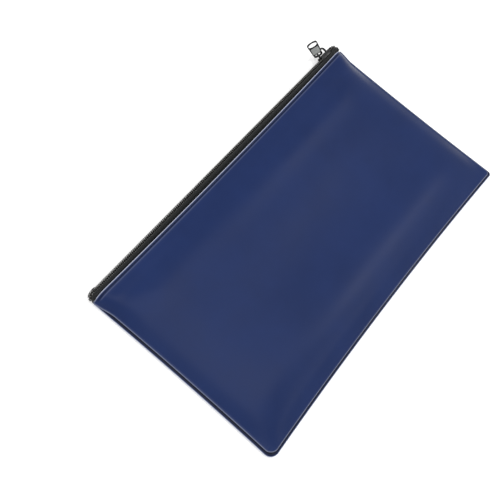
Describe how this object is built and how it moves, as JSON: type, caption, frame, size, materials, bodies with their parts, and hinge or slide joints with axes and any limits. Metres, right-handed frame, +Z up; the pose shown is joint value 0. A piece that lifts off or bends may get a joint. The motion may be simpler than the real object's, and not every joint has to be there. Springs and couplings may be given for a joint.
{
  "type": "zippered cash deposit bag",
  "caption": "Flat rectangular zippered deposit bag of navy vinyl, turned seams on three sides, black coil zip with slider and pull along one long edge.",
  "frame": {"origin": "middle of the back panel's flat underside, where the bag rests", "axes": "+X along the zip towards its closed end, +Y from the bottom seam towards the zip, +Z up out of the front panel"},
  "size_m": [0.2802, 0.173, 0.0274],
  "materials": {
    "vinyl": "smooth semi-gloss coated vinyl",
    "zip_tape": "woven polyester",
    "zip_coil": "nylon monofilament",
    "black_thread": "polyester thread",
    "navy_thread": "polyester thread",
    "slider_metal": "gunmetal lacquer"
  },
  "bodies": {
    "back": {"back_panel": "vinyl", "back_tape": "zip_tape", "back_coil": "zip_coil", "back_filler_cord": "zip_tape", "back_coil_thread": "black_thread", "left_end_tack": "black_thread", "right_end_tack": "black_thread", "back_hem_needle_thread": "navy_thread", "back_hem_bobbin_thread": "navy_thread", "back_left_seam_thread": "navy_thread", "back_right_seam_thread": "navy_thread", "back_bottom_seam_thread": "navy_thread"},
    "front": {"front_panel": "vinyl", "front_tape": "zip_tape", "front_coil": "zip_coil", "front_filler_cord": "zip_tape", "front_coil_thread": "black_thread", "front_hem_needle_thread": "navy_thread", "front_hem_bobbin_thread": "navy_thread", "front_left_seam_thread": "navy_thread", "front_right_seam_thread": "navy_thread", "front_bottom_seam_thread": "navy_thread"},
    "slider": {"slider_body": "slider_metal"},
    "pull": {"pull_tab": "slider_metal"}
  },
  "joints": [
    {"name": "mouth_open", "type": "hinge", "parent": "back", "child": "front", "pos_m": [0, -0.078, 0.003], "axis": [1, 0, 0], "range_deg": [0, 15], "deforming": ["front_tape", "front_coil", "front_filler_cord", "front_coil_thread"]},
    {"name": "slider_travel", "type": "slide", "parent": "back", "child": "slider", "axis": [-1, 0, 0], "range_m": [0, 0.25]},
    {"name": "pull_swing", "type": "hinge", "parent": "slider", "child": "pull", "pos_m": [0.1216, 0.08785, 0.00701], "axis": [1, 0, 0], "range_deg": [-20, 25]}
  ],
  "couplings": [
    {"joint": "slider_travel", "follows": "mouth_open", "m_per_rad": 0.954}
  ]
}
